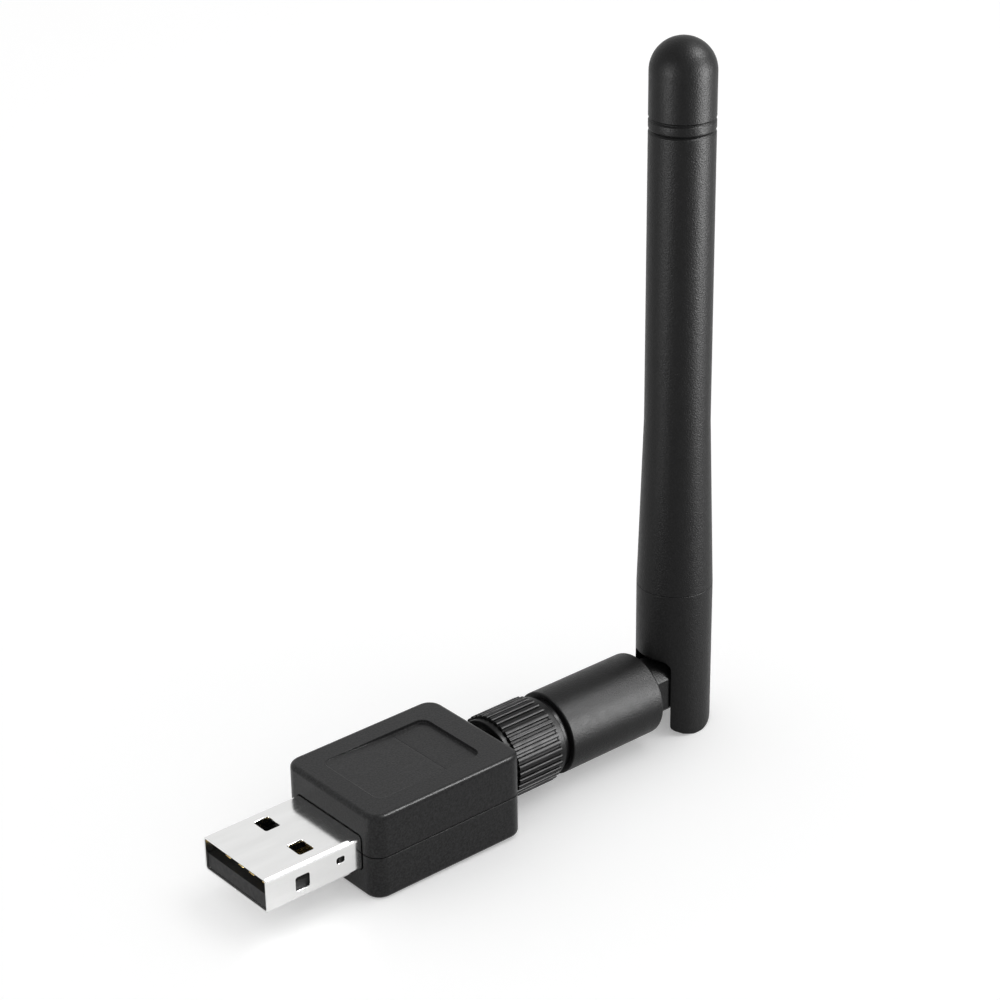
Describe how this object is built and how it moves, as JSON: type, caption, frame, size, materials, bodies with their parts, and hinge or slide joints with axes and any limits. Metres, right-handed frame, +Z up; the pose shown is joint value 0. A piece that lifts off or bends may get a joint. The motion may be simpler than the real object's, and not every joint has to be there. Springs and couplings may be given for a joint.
{
  "type": "usb wifi adapter",
  "caption": "Small black USB wireless adapter with a steel plug, a screw-on threaded nut and an upright whip antenna on a swivelling, tilting joint.",
  "frame": {"origin": "where the axis of the USB plug meets the front face of the housing, which is where a socket's face seats", "axes": "+Z up, along the upright antenna; -X along the USB plug towards its tip; the antenna jack, nut and barrel lie on +X, on the same axis; +Y across the housing"},
  "size_m": [0.0719, 0.017, 0.0887],
  "materials": {
    "housing_plastic": "black, fine satin grain",
    "antenna_plastic": "black, smooth satin",
    "nut_plastic": "black, semi-gloss ribs",
    "plug_steel": "bright nickel plated sheet steel",
    "tongue_plastic": "black moulded",
    "contact_gold": "thin gold plating",
    "brass": "gold plated brass, turned",
    "black_plating": "black plated brass, turned",
    "insulator": "white, waxy",
    "spring_steel": "plain",
    "gasket_rubber": "matt",
    "cable_jacket": "dark, smooth",
    "board": "green solder mask",
    "chip": "moulded package",
    "capacitor": "ceramic"
  },
  "bodies": {
    "adapter": {"upper_housing": "housing_plastic", "lower_housing": "housing_plastic", "usb_shell": "plug_steel", "usb_tongue": "tongue_plastic", "usb_contact_power": "contact_gold", "usb_contact_data_minus": "contact_gold", "usb_contact_data_plus": "contact_gold", "usb_contact_ground": "contact_gold", "circuit_board": "board", "radio_chip": "chip", "crystal": "spring_steel", "voltage_regulator": "chip", "chip_capacitors": "capacitor", "jack_body": "black_plating", "jack_insulator": "insulator", "jack_pin": "contact_gold"},
    "connector": {"plug_ferrule": "brass", "plug_insulator": "insulator", "plug_socket": "contact_gold", "plug_gasket": "gasket_rubber", "snap_ring": "spring_steel", "coax_lower": "cable_jacket"},
    "nut": {"nut_core": "black_plating", "nut_grip": "nut_plastic"},
    "barrel": {"barrel_shell": "antenna_plastic", "swivel_bush": "antenna_plastic", "hinge_pins": "spring_steel"},
    "mast": {"mast_fork": "antenna_plastic", "mast_sleeve": "antenna_plastic", "mast_cap": "antenna_plastic", "coax_upper": "cable_jacket", "dipole_sleeve": "brass", "radiator_wire": "contact_gold"}
  },
  "joints": [
    {"name": "antenna_unscrew", "type": "slide", "parent": "adapter", "child": "connector", "axis": [1, 0, 0], "range_m": [0, 0.00494]},
    {"name": "nut_turn", "type": "hinge", "parent": "connector", "child": "nut", "pos_m": [0.0275, 0, 0], "axis": [1, 0, 0], "range_deg": [0, 2520]},
    {"name": "barrel_swivel", "type": "hinge", "parent": "connector", "child": "barrel", "pos_m": [0.04, 0, 0], "axis": [1, 0, 0], "range_deg": [-180, 180]},
    {"name": "antenna_tilt", "type": "hinge", "parent": "barrel", "child": "mast", "pos_m": [0.054, 0, 0], "axis": [0, 1, 0], "range_deg": [0, 90]}
  ],
  "couplings": [
    {"joint": "nut_turn", "follows": "antenna_unscrew", "rad_per_m": 8904.7}
  ]
}
